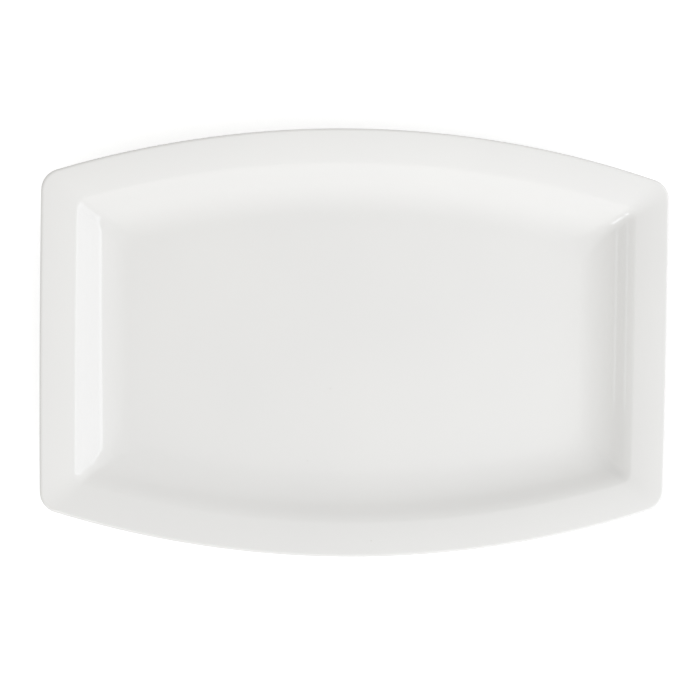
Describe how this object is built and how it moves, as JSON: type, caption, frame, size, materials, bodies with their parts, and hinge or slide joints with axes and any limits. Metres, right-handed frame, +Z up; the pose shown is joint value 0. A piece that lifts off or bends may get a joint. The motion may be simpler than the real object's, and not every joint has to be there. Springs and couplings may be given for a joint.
{
  "type": "serving platter",
  "caption": "Rectangular white porcelain serving platter with bowed long sides, a broad sloping rim, a deep flat well and a foot ring.",
  "frame": {"origin": "centre of the footprint, in the plane that the foot ring stands on", "axes": "+X along the platter, +Y across it, +Z up out of the well"},
  "size_m": [0.3556, 0.2412, 0.0254],
  "materials": {
    "bisque": "matte",
    "glaze": "gloss"
  },
  "bodies": {
    "root": {"porcelain_body": "bisque", "glaze_coat": "glaze", "foot_recess_glaze": "glaze"}
  },
  "joints": []
}
